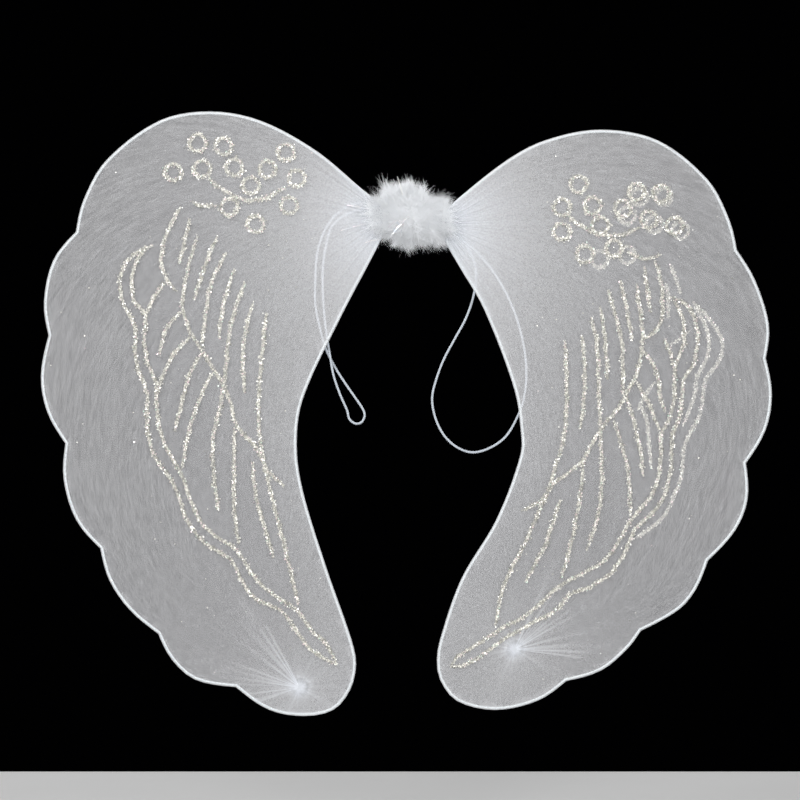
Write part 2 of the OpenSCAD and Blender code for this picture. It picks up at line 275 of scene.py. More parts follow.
def mottled_material(name, scale, detail, colours, roughs, depth=0.0, **inputs):
    """One noise gives the colour and the roughness, and the bumps if there is a depth."""
    made, tree = new_material(name, **inputs)
    tone = noise(tree, place(tree), scale, detail)
    greys = [(at, grey(value)) for at, value in roughs]
    if depth:
        feed(made, Normal=bump(tree, tone, depth))
    return feed(made, Base_Color=ramp(tree, tone, colours), Roughness=ramp(tree, tone, greys))


def coated_wire_material():
    """White plastic-coated wire: nearly even, with faint handling marks."""
    made, tree = new_material("coated_wire", Coat_Weight=0.25, Coat_Roughness=0.3)
    marks = noise(tree, place(tree), 220.0, 4.0, 0.6)
    return feed(
        made,
        Base_Color=ramp(tree, marks, [(0.3, (0.70, 0.76, 0.79)), (0.62, (0.80, 0.85, 0.87))]),
        Roughness=ramp(tree, marks, [(0.3, grey(0.5)), (0.7, grey(0.3))]),
        Normal=bump(tree, noise(tree, place(tree), 900.0), 0.00005),
    )


# How opaque one layer of stretched nylon is, and what its rim and a full gather add
NYLON_ALPHA = 0.196
NYLON_RIM = 0.25
NYLON_GATHER = 0.77
# How far streaks change that, also in a full gather, and how far the grain does
STREAK_DEPTH = 0.14
STREAK_GATHERED = 0.14
GRAIN_DEPTH = 0.21
WIDE_SHARE = 0.22           # of broad streaks against fine ones


def nylon_material():
    """Sheer white stocking knit: streaks run from neck to toe, and gathers are denser."""
    made, tree = new_material(
        "nylon", Specular_IOR_Level=0.35, Sheen_Weight=0.25, Sheen_Roughness=0.5
    )
    knit = from_mesh(tree, "knit", "Vector")
    wide = noise(tree, scaled(tree, knit, (40, 40, 1.5)), 1.0, 3.0, 0.6)
    fine = noise(tree, scaled(tree, knit, (105, 105, 15)), 1.0, 2.0, 0.6)
    grain = noise(tree, place(tree), 1000.0, 1.0, 0.7)
    streak = maths(tree, "ADD", maths(tree, "MULTIPLY", wide, WIDE_SHARE),
                   maths(tree, "MULTIPLY", fine, 1 - WIDE_SHARE))
    gather = from_mesh(tree, "gather", "Fac")
    rim = from_mesh(tree, "rim", "Fac")
    depth = maths(tree, "ADD", maths(tree, "MULTIPLY", gather, STREAK_GATHERED), STREAK_DEPTH)
    texture = maths(tree, "MULTIPLY", maths(tree, "SUBTRACT", streak, 0.5), depth)
    speckle = maths(tree, "MULTIPLY", maths(tree, "SUBTRACT", grain, 0.5), GRAIN_DEPTH)
    tint = maths(tree, "ADD", streak, gather)
    cover = maths(tree, "ADD", NYLON_ALPHA, maths(tree, "MULTIPLY", gather, NYLON_GATHER))
    cover = maths(tree, "ADD", cover, maths(tree, "MULTIPLY", rim, NYLON_RIM))
    cover = maths(tree, "ADD", cover, texture)
    cover = maths(tree, "ADD", cover, speckle, clamp=True)
    return feed(
        made,
        Alpha=cover,
        Base_Color=ramp(tree, tint, [
            (0.38, (0.78, 0.78, 0.80)), (0.6, (0.93, 0.93, 0.95)), (1.0, (0.85, 0.88, 0.94))]),
        Roughness=ramp(tree, grain, [(0.2, grey(0.45)), (0.8, grey(0.65))]),
        Normal=bump(tree, streak, 0.0002),
    )


def gathered_nylon_material():
    """The bunched toe of a stocking: many layers, so nearly opaque."""
    colours = [(0.3, (0.84, 0.84, 0.88)), (0.7, (0.94, 0.94, 0.97))]
    roughs = [(0.3, 0.7), (0.7, 0.45)]
    return mottled_material("gathered_nylon", 700.0, 3.0, colours, roughs, 0.0003, Sheen_Weight=0.3)


def glue_material():
    """Dried glitter glue: a thin, cloudy, champagne film with broken edges."""
    made, tree = new_material("glitter_glue", Coat_Weight=0.4, Coat_Roughness=0.15)
    lumps = noise(tree, place(tree), 1300.0, 2.0, 0.6)
    patches = noise(tree, place(tree), 520.0, 2.0)
    return feed(
        made,
        Base_Color=ramp(tree, lumps, [(0.35, (0.46, 0.45, 0.40)), (0.65, (0.84, 0.82, 0.74))]),
        Alpha=ramp(tree, patches, [(0.38, grey(0.12)), (0.6, grey(0.5))]),
        Roughness=ramp(tree, lumps, [(0.3, grey(0.5)), (0.7, grey(0.2))]),
        Normal=bump(tree, lumps, 0.0003),
    )


def flake_material():
    """Loose cut flakes: champagne and silver foil, a few of them iridescent, and a share painted dark
    grey as painted shade for foil turned away from the lamps.
    """
    made, tree = new_material("glitter_flakes", Metallic=0.25, Specular_IOR_Level=0.8)
    hue_and_shade = from_mesh(tree, "hue_and_shade", "Fac")
    # The dark grey low end of this ramp, up to about 0.42, is painted shade for flakes that catch no
    # light. The rest is the foil's own champagne, silver and iridescent colour.
    colours = [
        (0.0, (0.2, 0.2, 0.18)), (0.28, (0.42, 0.41, 0.36)), (0.42, (0.78, 0.76, 0.68)),
        (0.5, (1.0, 0.99, 0.92)), (0.86, (1.0, 0.97, 0.88)), (0.93, (0.98, 0.74, 0.80)),
        (1.0, (0.72, 0.95, 0.80)),
    ]
    return feed(
        made,
        Base_Color=ramp(tree, hue_and_shade, colours),
        Roughness=ramp(tree, hue_and_shade, [(0.0, grey(0.5)), (0.5, grey(0.26)), (1.0, grey(0.16))]),
    )


BRAID_PITCH = 3.2 * MM
BRAID_STRANDS = 4.0


def elastic_material():
    """Braided elastic cord: two sets of strands that cross at a slant."""
    made, tree = new_material("elastic", Sheen_Weight=0.3)
    wound = add(tree, "ShaderNodeSeparateXYZ", Vector=from_mesh(tree, "wound", "Vector"))
    along = maths(tree, "MULTIPLY", wound.outputs[0], 2 * pi / BRAID_PITCH)
    round_it = maths(tree, "MULTIPLY", wound.outputs[1], BRAID_STRANDS)
    one = maths(tree, "SINE", maths(tree, "ADD", along, round_it))
    other = maths(tree, "SINE", maths(tree, "SUBTRACT", along, round_it))
    braid = maths(tree, "MULTIPLY", one, other)
    braid = maths(tree, "ADD", maths(tree, "MULTIPLY", braid, 0.5), 0.5)
    fuzz = noise(tree, place(tree), 2500.0, 2.0)
    return feed(
        made,
        Base_Color=ramp(tree, braid, [(0.0, (0.44, 0.48, 0.54)), (0.6, (0.56, 0.61, 0.67))]),
        Roughness=ramp(tree, fuzz, [(0.3, grey(0.65)), (0.7, grey(0.85))]),
        Normal=bump(tree, maths(tree, "ADD", braid, maths(tree, "MULTIPLY", fuzz, 0.4)), 0.0002),
    )


def thread_material():
    """Twisted thread or cord: fine slanting strands."""
    made, tree = new_material("thread", Sheen_Weight=0.3)
    strands = add(
        tree, "ShaderNodeTexWave", {"bands_direction": "DIAGONAL"},
        Vector=place(tree), Scale=900.0, Distortion=1.5, Detail=1.0,
    ).outputs[0]
    return feed(
        made,
        Base_Color=ramp(tree, strands, [(0.1, (0.82, 0.82, 0.85)), (0.7, (0.95, 0.95, 0.97))]),
        Roughness=ramp(tree, strands, [(0.0, grey(0.9)), (1.0, grey(0.6))]),
        Normal=bump(tree, strands, 0.00015),
    )


def tape_material():
    """Matte cloth tape with a faint weave and creases."""
    made, tree = new_material("tape")
    weave = add(tree, "ShaderNodeTexVoronoi", Vector=place(tree), Scale=2200.0).outputs[0]
    creases = noise(tree, place(tree), 260.0, 4.0, 0.7)
    return feed(
        made,
        Base_Color=ramp(tree, creases, [(0.35, (0.72, 0.71, 0.66)), (0.6, (0.88, 0.87, 0.83))]),
        Roughness=ramp(tree, weave, [(0.0, grey(0.9)), (1.0, grey(0.6))]),
        Normal=bump(tree, maths(tree, "ADD", weave, creases), 0.0002),
    )


def binding_wire_material():
    """Bare steel wire, with fine streaks along X."""
    made, tree = new_material("binding_wire", Metallic=1.0)
    drawn = noise(tree, scaled(tree, place(tree), (900, 4000, 4000)), 1.0, 3.0)
    return feed(
        made,
        Base_Color=ramp(tree, drawn, [(0.3, grey(0.45)), (0.7, grey(0.75))]),
        Roughness=ramp(tree, drawn, [(0.3, grey(0.45)), (0.7, grey(0.25))]),
    )


def down_material():
    """Marabou down: white, a little greyer towards each tip."""
    made, tree = new_material("down", Roughness=0.75, Sheen_Weight=0.8)
    tip = from_mesh(tree, "tip", "Fac")
    tone = noise(tree, place(tree), 160.0, 2.0)
    mixed = maths(tree, "ADD", maths(tree, "MULTIPLY", tip, 0.7), maths(tree, "MULTIPLY", tone, 0.3))
    return feed(
        made,
        Base_Color=ramp(tree, mixed, [(0.1, (0.955, 0.97, 0.99)), (0.9, (0.90, 0.915, 0.94))]),
    )


def quill_material():
    """The pale shaft of a small feather."""
    colours = [(0.3, (0.85, 0.84, 0.80)), (0.7, (0.95, 0.95, 0.93))]
    return mottled_material("quill", 300.0, 3.0, colours, [(0.3, 0.5), (0.7, 0.3)], Coat_Weight=0.3)


def tinsel_material():
    """Thin iridescent film strands."""
    colours = [(0.3, (0.75, 0.85, 1.0)), (0.5, (1.0, 0.95, 0.9)), (0.7, (0.95, 0.78, 0.9))]
    roughs = [(0.3, 0.12), (0.7, 0.3)]
    return mottled_material("tinsel", 240.0, 2.0, colours, roughs, Metallic=0.3, Coat_Weight=0.5)


def floor_material():
    """Pale grey paper, a little uneven in tone."""
    colours = [(0.3, grey(0.62)), (0.7, grey(0.66))]
    return mottled_material("floor", 3.0, 3.0, colours, [(0.3, 0.85), (0.7, 0.75)])


MATERIALS = {
    "coated_wire": coated_wire_material(),
    "nylon": nylon_material(),
    "gathered_nylon": gathered_nylon_material(),
    "glitter": glue_material(),
    "flakes": flake_material(),
    "elastic": elastic_material(),
    "thread": thread_material(),
    "tape": tape_material(),
    "binding_wire": binding_wire_material(),
    "down": down_material(),
    "quill": quill_material(),
    "tinsel": tinsel_material(),
}


def finish_with(piece, name):
    """Gives a piece its material."""
    piece.data.materials.clear()
    piece.data.materials.append(MATERIALS[name])


for row in frame["record"]["subparts"]:
    nodes[row["node"]].data.materials.clear()
    nodes[row["node"]].data.materials.append(MATERIALS[row["material_slot"]])


# ---- arm loops ----
# The same routes as the CAD tubes, in millimetres
LOOP_ROUTES = {
    "left": [
        (-18, 8, 10), (-25, 8, 11), (-34, 7.5, 11), (-44, 7, 8), (-53, 6.5, 1), (-60, 6.5, -10),
        (-64, 6.5, -24), (-65, 6.5, -40), (-65, 6.5, -57), (-62, 7, -72), (-58, 7.5, -86),
        (-52, 7.5, -98), (-45, 7.5, -109), (-38, 7, -119), (-34, 6.5, -125), (-32.5, 6, -129.5),
        (-34.5, 5.5, -134), (-38.5, 5, -135), (-42.5, 4.5, -132), (-44, 4.5, -126.5),
        (-49, 4, -115), (-53, 4, -103), (-55, 4, -92), (-57, 4, -80), (-59, 4, -64),
        (-60, 4, -48), (-60, 4, -33), (-58, 4.5, -18), (-54, 5, -5), (-46, 5.5, 2),
        (-36, 6, 6), (-26, 7, 7), (-18, 8, 7),
    ],
    "right": [
        (18, 8.5, -3), (25, 8.5, -7), (33, 8.5, -15), (39, 8, -26), (41, 7, -38),
        (39, 6.5, -52), (34, 6, -66), (27, 6, -79), (20, 6, -92), (15, 6, -105),
        (12, 6, -118), (14, 6, -131), (20, 5.5, -143), (29, 5, -151), (39, 5, -154),
        (50, 5, -151), (60, 5, -144), (67, 5, -133), (72, 5, -120), (74, 5, -105),
        (73, 5, -88), (69, 5, -70), (63, 5, -54), (55, 5, -39), (45, 5, -26),
        (34, 5.5, -16), (25, 6, -10), (18, 7, -7),
    ],
}


ROUND_SIDES = 14            # of a cord or wire
LOOP_STEP = 0.8 * MM


def make_arm_loop(name):
    path = curve_through(np.array(LOOP_ROUTES[name]) * MM, LOOP_STEP)
    loop = tube(f"{name}_elastic_loop", path, CORD_R, ROUND_SIDES)
    finish_with(loop, "elastic")
    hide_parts(f"{name}_arm_loop")
    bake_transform(loop)


for name in SIDES:
    make_arm_loop(name)


# ---- wings ----
GRID = 1e-6                 # points closer than this are one
MOUTH_REACH = 20 * GRID
MOUTH_LOW_Z = -30 * MM


def front_edge(node):
    """The edge of a flat CAD stocking's front face as an open line in X and Z, from the top of
    its mouth round to the bottom."""
    mesh = nodes[node].data
    co = np.array([v.co for v in mesh.vertices])
    front = co[:, 1].min()
    key = [tuple(np.round(c / GRID).astype(int)) for c in co]
    count = {}
    for face in mesh.polygons:
        if all(abs(co[i][1] - front) < GRID for i in face.vertices):
            for a, b in face.edge_keys:
                pair = frozenset((key[a], key[b]))
                count[pair] = count.get(pair, 0) + 1
    beside = {}
    for pair, uses in count.items():
        if uses == 1:
            a, b = pair
            beside.setdefault(a, []).append(b)
            beside.setdefault(b, []).append(a)
    at_mouth = [
        k for k in beside
        if abs(abs(k[0]) * GRID - MOUTH_X) < MOUTH_REACH and k[2] * GRID > MOUTH_LOW_Z
    ]
    mouth = sorted(at_mouth, key=lambda k: -k[2])
    line = [mouth[0]]
    before = mouth[-1]
    while line[-1] != mouth[-1]:
        here = line[-1]
        ahead = [k for k in beside[here] if k != before]
        before = here
        line.append(ahead[0])
    return np.array([(k[0] * GRID, k[2] * GRID) for k in line])


MIN_MITRE_COS = 0.66        # limits the normal at a corner


def inward_normals(line, side):
    """Unit normals into the wing, longer at a corner so that the straights keep their gap."""
    chord = np.diff(line, axis=0)
    chord /= norms(chord)[:, None]
    left = columns(-chord[:, 1], chord[:, 0]) * -side
    both = np.vstack([left[:1], left]) + np.vstack([left, left[-1:]])
    both /= norms(both)[:, None]
    mitre = 1 / np.clip((both * np.vstack([left, left[-1:]])).sum(1), MIN_MITRE_COS, 1)
    return both * mitre[:, None]


def inside(points, loop):
    """Whether each point is inside the closed loop."""
    a, b = loop, np.roll(loop, -1, axis=0)
    x, z = points[:, :1], points[:, 1:]
    crosses = (a[:, 1] > z) != (b[:, 1] > z)
    run = np.where(b[:, 1] == a[:, 1], 1, b[:, 1] - a[:, 1])
    at = a[:, 0] + (z - a[:, 1]) / run * (b[:, 0] - a[:, 0])
    return (crosses & (x < at)).sum(1) % 2 == 1


def distance_to(points, line):
    """How far each point is from an open line."""
    a, d = line[:-1], np.diff(line, axis=0)
    rel = points[:, None] - a[None]
    t = np.clip((rel * d).sum(2) / (d * d).sum(1), 0, 1)
    return np.linalg.norm(rel - t[..., None] * d, axis=2).min(1)


def polar_grid(centre, radii, count):
    """Points in rings round a centre, each ring turned by half a step from the one inside it."""
    a = np.arange(count) * 2 * pi / count
    r, a = np.meshgrid(radii, a, indexing="ij")
    a = a + np.arange(len(radii))[:, None] % 2 * pi / count
    return np.stack([centre[0] + r * np.cos(a), centre[1] + r * np.sin(a)], axis=2).reshape(-1, 2)


def even_grid(low, high, step):
    """Points at the corners of even triangles."""
    x = np.arange(low[0], high[0], step)
    z = np.arange(low[1], high[1], step * math.sqrt(3) / 2)
    x, z = np.meshgrid(x, z, indexing="xy")
    x = x + (np.arange(len(x)) % 2)[:, None] * step / 2
    return np.stack([x, z], axis=2).reshape(-1, 2)


class Folds:
    """Soft ridges that run out from a gather. height() is how far they stand up at a point."""

    def __init__(self, centre, count, spread, rise, reach, tall, seed, thin=1.0):
        draw = np.random.default_rng(seed)
        self.centre = np.array(centre)
        low, high = spread
        self.angle = np.linspace(low, high, count) + draw.normal(0, 0.25, count) * (high - low) / count
        self.width = thin * draw.uniform(0.35, 0.6, count) * (high - low) / count
        self.reach = reach * draw.uniform(0.5, 1.6, count)
        self.tall = tall * draw.uniform(0.35, 1.0, count)
        self.rise = rise

    def height(self, points):
        rel = points - self.centre
        r = norms(rel)
        a = np.arctan2(rel[:, 1], rel[:, 0])
        turn = (a[:, None] - self.angle + pi) % (2 * pi) - pi
        ridge = np.exp(-((turn / self.width) ** 2)) * np.exp(-r[:, None] / self.reach)
        return smoothstep(*self.rise, r) * (ridge * self.tall).sum(1)


# Angles at each toe between which its long pleats run, and how strongly each neck is pleated
TOE_FAN = {"left": (math.radians(118), math.radians(200)),
           "right": (math.radians(-8), math.radians(66))}
NECK_PLEATS = {"left": 0.09, "right": 0.15}
# Angles, at each neck, between which the wing spreads
NECK_SPREAD = {"left": (math.radians(139), math.radians(243)),
               "right": (math.radians(-63), math.radians(42))}
RIM_TURN = np.radians([-60, -30, 0, 30, 60])
MOUTH_POINTS = 26
# Where the sleeve has rows of points, from the mouth at 0 to its end at 1
SLEEVE_ROWS = (0.25, 0.5, 0.75, 1.0)
SLEEVE_END_X = 11 * MM
SLEEVE_R = 3.4 * MM

# Rings of points round each gather: first and last radius in mm, rings, and points in a ring
NECK_RINGS, NECK_TURNS = (2.6, 62, 34), 720
TOE_RINGS, TOE_TURNS = (1.2, 44, 22), 480
NECK_GAP, TOE_GAP = 2, 1.5  # from the last ring to the grid, in mm
EVEN_STEP = 4.5 * MM
RIM_GAP = 0.9 * MM


def gathers(name):
    return (np.array(GATHER[name][place]) for place in ("neck", "toe"))


def stocking_points(name, edge, middle):
    """Points of one flat layer inside the wire's middle line, closer together at the gathers."""
    neck, toe = gathers(name)
    fan = polar_grid(neck, np.geomspace(*NECK_RINGS) * MM, NECK_TURNS)
    rays = polar_grid(toe, np.geomspace(*TOE_RINGS) * MM, TOE_TURNS)
    rays = rays[norms(rays - neck) > NECK_RINGS[1] * MM]
    even = even_grid(edge.min(0), edge.max(0), EVEN_STEP)
    clear = norms(even - neck) > (NECK_RINGS[1] + NECK_GAP) * MM
    clear &= norms(even - toe) > (TOE_RINGS[1] + TOE_GAP) * MM
    points = np.vstack([fan, rays, even[clear]])
    points = points[inside(points, middle)]
    return points[distance_to(points, np.vstack([middle, middle[:1]])) > RIM_GAP]


def triangulate(loop, free):
    """A flat layer inside a loop: its points, its triangles, and where each loop point went."""
    start = [Vector(p) for p in np.vstack([loop, free])]
    found = geometry.delaunay_2d_cdt(start, [], [list(range(len(loop)))], 1, 1e-7)
    flat = np.array([tuple(p) for p in found[0]])
    triangles = [list(f) for f in found[2]]
    where = {i: k for k, source in enumerate(found[3]) for i in source}
    return flat, triangles, where


def layer_points(name, flat, edge):
    """The points of the front layer and then of the back one, lifted along their pleats."""
    neck, toe = gathers(name)
    pleats = {
        -1: Folds(neck, 30, NECK_SPREAD[name], (3 * MM, 10 * MM), 24 * MM, 1.5 * MM, 11),
        1: Folds(neck, 26, NECK_SPREAD[name], (3 * MM, 10 * MM), 22 * MM, 1.3 * MM, 12),
    }
    toe_rays = Folds(toe, 30, (0, 2 * pi), (0.5 * MM, 5 * MM), 12 * MM, 0.9 * MM, 13)
    off_rim = smoothstep(0, 5 * MM, distance_to(flat, edge) - WIRE_INSET)
    points = []
    for face in (-1, 1):
        lift = pleats[face].height(flat)
        if face == 1:
            lift = lift + toe_rays.height(flat)
        y = face * (NYLON_HALF + lift * off_rim)
        points.append(columns(flat[:, 0], y, flat[:, 1]))
    return points


def layer_faces(flat, triangles):
    """The triangles of both layers, each turned to face out."""
    faces = []
    for face, first in ((-1, 0), (1, len(flat))):
        for t in triangles:
            a, b, c = (flat[i] for i in t)
            turns = (b[0] - a[0]) * (c[1] - a[1]) - (b[1] - a[1]) * (c[0] - a[0])
            # the front layer faces -Y, and an anticlockwise triangle in X and Z faces -Y
            order = t if (turns > 0) == (face == -1) else t[::-1]
            faces.append([first + i for i in order])
    return faces


def rim_row(middle, into, turn):
    """Points round the outside of the wire, turned from its outer side to the back."""
    row = middle - into * (WIRE_INSET * math.cos(turn))
    y = np.full(len(middle), NYLON_HALF * math.sin(turn))
    return columns(row[:, 0], y, row[:, 1])


def sleeve_rows(mouth, side):
    """Rows that narrow from the mouth's ring of points to a puckered round end over the hub."""
    count = len(mouth)
    around = np.linspace(0, 2 * pi, count, endpoint=False)
    height = mouth[:, 2] - (mouth[:, 2].max() + mouth[:, 2].min()) / 2
    turn = np.unwrap(np.arctan2(mouth[:, 1] / NYLON_HALF, height / height.max()))
    even = turn[0] + (turn[-1] - turn[0]) * np.arange(count) / (count - 1)
    pinch = SLEEVE_R * (1 + 0.12 * np.cos(13 * around) + 0.08 * np.cos(7 * around + 1))
    end = np.stack(
        [np.full(count, side * SLEEVE_END_X), pinch * np.sin(even), pinch * np.cos(even)], axis=1)
    rows = []
    for share in SLEEVE_ROWS:
        eased = share * share * (3 - 2 * share)
        row = mouth * (1 - eased) + end * eased
        row[:, 0] = mouth[:, 0] * (1 - share) + end[:, 0] * share
        rows.append(row)
    return rows


# How strongly the knit bunches and how far: at the neck, the toe and the inner edge
NECK_HALOS = ((0.4, 20 * MM), (0.27, 55 * MM))
TOE_MIDDLE, TOE_MIDDLE_BACK, TOE_MIDDLE_R = 0.6, 0.6, 5 * MM
TOE_HALO, TOE_HALO_REACH = 0.1, 26 * MM
INNER_EDGE, INNER_EDGE_REACH = 0.055, 32 * MM
# Bunched lines that run out from the neck, with a seed for each layer
NECK_LINES, NECK_LINES_REACH = 46, 24 * MM
NECK_LINE_SEEDS = (21, 22)


def bunching(name, xz, back, edge):
    """How bunched the knit is at each point, from 0 to 1. back is 1 on the back layer."""
    neck, toe = gathers(name)
    r_neck = norms(xz - neck)
    r_toe = norms(xz - toe)
    gather = sum(strength * np.exp(-r_neck / reach) for strength, reach in NECK_HALOS)
    middle = np.exp(-((r_toe / TOE_MIDDLE_R) ** 2))
    gather += (TOE_MIDDLE + TOE_MIDDLE_BACK * back) * middle
    gather += TOE_HALO * np.exp(-r_toe / TOE_HALO_REACH)
    inner_edge = edge[edge[:, 1].argmin():]
    gather += INNER_EDGE * np.exp(-distance_to(xz, inner_edge) / INNER_EDGE_REACH)
    strength = NECK_PLEATS[name]
    between = 0.25 * strength * np.exp(-r_neck / NECK_LINES_REACH)
    for seed, on_layer in zip(NECK_LINE_SEEDS, (1 - back, back)):
        lines = Folds(neck, NECK_LINES, NECK_SPREAD[name], (2 * MM, 9 * MM), NECK_LINES_REACH,
                      strength, seed)
        gather += on_layer * (lines.height(xz) - between)
    gather += Folds(toe, 15, TOE_FAN[name], (0, 3 * MM), 15 * MM, 0.7, 23, 0.5).height(xz)
    gather += Folds(toe, 46, (0, 2 * pi), (0, 3 * MM), 6.5 * MM, 0.3, 24).height(xz)
    return np.clip(gather, 0, 1)


BACK_KNIT_SHIFT = 3.7       # of the back layer's streaks


def knit_place(name, xz, back):
    """Places in the knit. Only the last value changes along an arc from neck to toe."""
    rel_neck, rel_toe = (xz - end for end in gathers(name))
    seen = np.arctan2(rel_neck[:, 1], rel_neck[:, 0]) - np.arctan2(rel_toe[:, 1], rel_toe[:, 0])
    r_neck, r_toe = (norms(rel) for rel in (rel_neck, rel_toe))
    along = np.log((r_neck + MM) / (r_toe + MM)) + back * BACK_KNIT_SHIFT
    return columns(np.cos(seen), np.sin(seen), along)


def make_stocking(name):
    """A closed envelope of nylon round the wire, open only where it runs into the hub."""
    side = SIDES[name]
    edge = front_edge(f"{name}_nylon_stocking")
    into = inward_normals(edge, side)
    middle = edge + into * WIRE_INSET
    across = np.linspace(middle[-1], middle[0], MOUTH_POINTS)[1:-1]
    loop = np.vstack([middle, across])
    flat, triangles, where = triangulate(loop, stocking_points(name, edge, loop))
    n_flat, n_loop, n_edge = len(flat), len(loop), len(edge)
    points = layer_points(name, flat, edge)
    faces = layer_faces(flat, triangles)
    count = 2 * n_flat

    # rows round the wire join the two layers
    rows = [[where[i] for i in range(n_edge)]]
    for turn in RIM_TURN:
        points.append(rim_row(middle, into, turn))
        rows.append(list(range(count, count + n_edge)))
        count += n_edge
    rows.append([n_flat + where[i] for i in range(n_edge)])
    for near, far in zip(rows, rows[1:]):
        for i in range(n_edge - 1):
            quad = [near[i], near[i + 1], far[i + 1], far[i]]
            faces.append(quad if side > 0 else quad[::-1])

    # the mouth narrows to a round sleeve over the hub
    front = [where[0]] + [where[i] for i in range(n_loop - 1, n_edge - 1, -1)] + [where[n_edge - 1]]
    ring = front + [r[-1] for r in rows[1:-1]]
    ring += [n_flat + i for i in front[::-1]] + [r[0] for r in rows[-2:0:-1]]
    near = ring
    for row in sleeve_rows(np.vstack(points)[ring], side):
        points.append(row)
        far = list(range(count, count + len(ring)))
        count += len(ring)
        for i in range(len(ring)):
            j = (i + 1) % len(ring)
            faces.append([near[i], near[j], far[j], far[i]][:: side * -1])
        near = far

    points = np.vstack(points)
    xz = points[:, [0, 2]]
    back = (points[:, 1] > 0).astype(float)
    piece = new_mesh(f"{name}_nylon", points, faces)
    set_attribute(piece, "knit", knit_place(name, xz, back), "FLOAT_VECTOR")
    set_attribute(piece, "gather", bunching(name, xz, back, edge))
    set_attribute(piece, "rim", smoothstep(1.8 * MM, 0.2 * MM, distance_to(xz, edge)))
    finish_with(piece, "nylon")
    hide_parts(f"{name}_nylon_stocking")
    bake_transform(piece)
    return piece, edge, middle


def make_wire(name, middle):
    """The same wire as the CAD's, round instead of eight-sided."""
    path = columns(middle[:, 0], np.zeros(len(middle)), middle[:, 1])
    wire = tube(f"{name}_wire", path, WIRE_R, ROUND_SIDES)
    finish_with(wire, "coated_wire")
    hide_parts(f"{name}_wing_wire")
    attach(wire, f"{name}_wing")


# One stocking leg, laid flat and unstretched: an assumed size
wings = {}
for name in SIDES:
    stocking, edge, middle = make_stocking(name)
    make_wire(name, middle)
    wings[name] = (edge, middle)


# ---- tied toes ----
TOE_FLUTES = 11
TOE_SINK = 0.1 * MM         # how far its foot goes into the nylon
# Radius and height along the bunch, as shares of the CAD knot's radius and height
TOE_PROFILE = [
    (0.95, 0.0), (0.8, 0.03), (0.55, 0.09), (0.34, 0.18), (0.26, 0.28), (0.26, 0.46),
    (0.42, 0.58), (0.55, 0.7), (0.6, 0.84), (0.5, 0.95), (0.3, 0.93), (0.08, 0.8),
]
TOE_STEP = 0.05


def make_toe(name):
    """The bunched end of a stocking: fluted folds that are tied at the waist and frill out."""
    low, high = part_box(f"{name}_toe_knot")
    centre = (low + high) / 2
    tall = high[1] - low[1]
    profile = curve_through(TOE_PROFILE, TOE_STEP)
    radius = (high[0] - low[0]) / 2
    turns = 132
    a = np.arange(turns) * 2 * pi / turns
    points = []
    for r, h in profile:
        flute = 0.5 + 0.5 * np.cos(TOE_FLUTES * a + 1.3 * np.sin(3 * a) + h)
        frill = smoothstep(0.4, 0.9, h)
        reach = r * (1 + (0.22 + 0.25 * frill) * (flute - 0.5) + 0.05 * np.sin(5 * a))
        lift = h + (0.09 * frill + 0.03) * (flute - 0.5) + 0.05 * frill * np.sin(2 * a)
        points.append(np.stack([
            centre[0] + radius * reach * np.cos(a),
            low[1] - TOE_SINK + tall * np.maximum(lift, 0.0),
            centre[2] + radius * reach * np.sin(a)], axis=1))
    # turned to face out
    faces = [quad[:1] + quad[:0:-1] for quad in ring_quads(len(profile), turns)]
    faces.append(tuple(range(turns)))
    faces.append(tuple(range((len(profile) - 1) * turns, len(profile) * turns))[::-1])
    toe = new_mesh(f"{name}_toe_bunch", np.vstack(points), faces)
    finish_with(toe, "gathered_nylon")
    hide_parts(f"{name}_toe_knot")
    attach(toe, f"{name}_wing")


for name in SIDES:
    make_toe(name)


# ---- glitter ----
FLAKE_R = 0.42 * MM
FLAKES_PER_MM2 = 2.6
BACK_FLAKES_PER_MM2 = 2.4
# How far flakes stray from a glue line, across the feathers and the rings
STRAY = {"feathers": 0.42 * MM, "berries": 0.55 * MM}
STRAY_BACK_MM = 0.4
# How far flakes lie off the glue's face. At the back it soaks through, so they are on both
# faces of the knit.
RISE_MM = (0.0, 0.35)
RISE_BACK_MM = (-0.8, 0.2)
# The most specks that fell on a wing, and how far out they start
SPECKS = 90
SPECKS_X = 60 * MM
# How far hand-drawn lines of flakes wander off their glue, on short and long waves in mm
WANDER = 0.36 * MM
WAVES_X, WAVES_Z = (2.4, 11), (2.7, 13)
WAVE_MIX = 3


def face_triangles(node, front):
    """The corners of the triangles on a CAD node's lowest or highest face in Y."""
    mesh = nodes[node].data
    mesh.calc_loop_triangles()
    co = np.array([v.co for v in mesh.vertices])
    corners = co[np.array([t.vertices for t in mesh.loop_triangles])]
    level = co[:, 1].min() if front else co[:, 1].max()
    return corners[(np.abs(corners[:, :, 1] - level) < GRID).all(1)]


def scatter(corners, per_mm2):
    """Random points, even over the triangles."""
    area = norms(
        np.cross(corners[:, 1] - corners[:, 0], corners[:, 2] - corners[:, 0])) / 2
    count = int(area.sum() / MM**2 * per_mm2)
    chosen = corners[rng.choice(len(corners), count, p=area / area.sum())]
    a, b = rng.random((2, count, 1))
    a, b = np.where(a + b > 1, 1 - a, a), np.where(a + b > 1, 1 - b, b)
    return chosen[:, 0] + a * (chosen[:, 1] - chosen[:, 0]) + b * (chosen[:, 2] - chosen[:, 0])


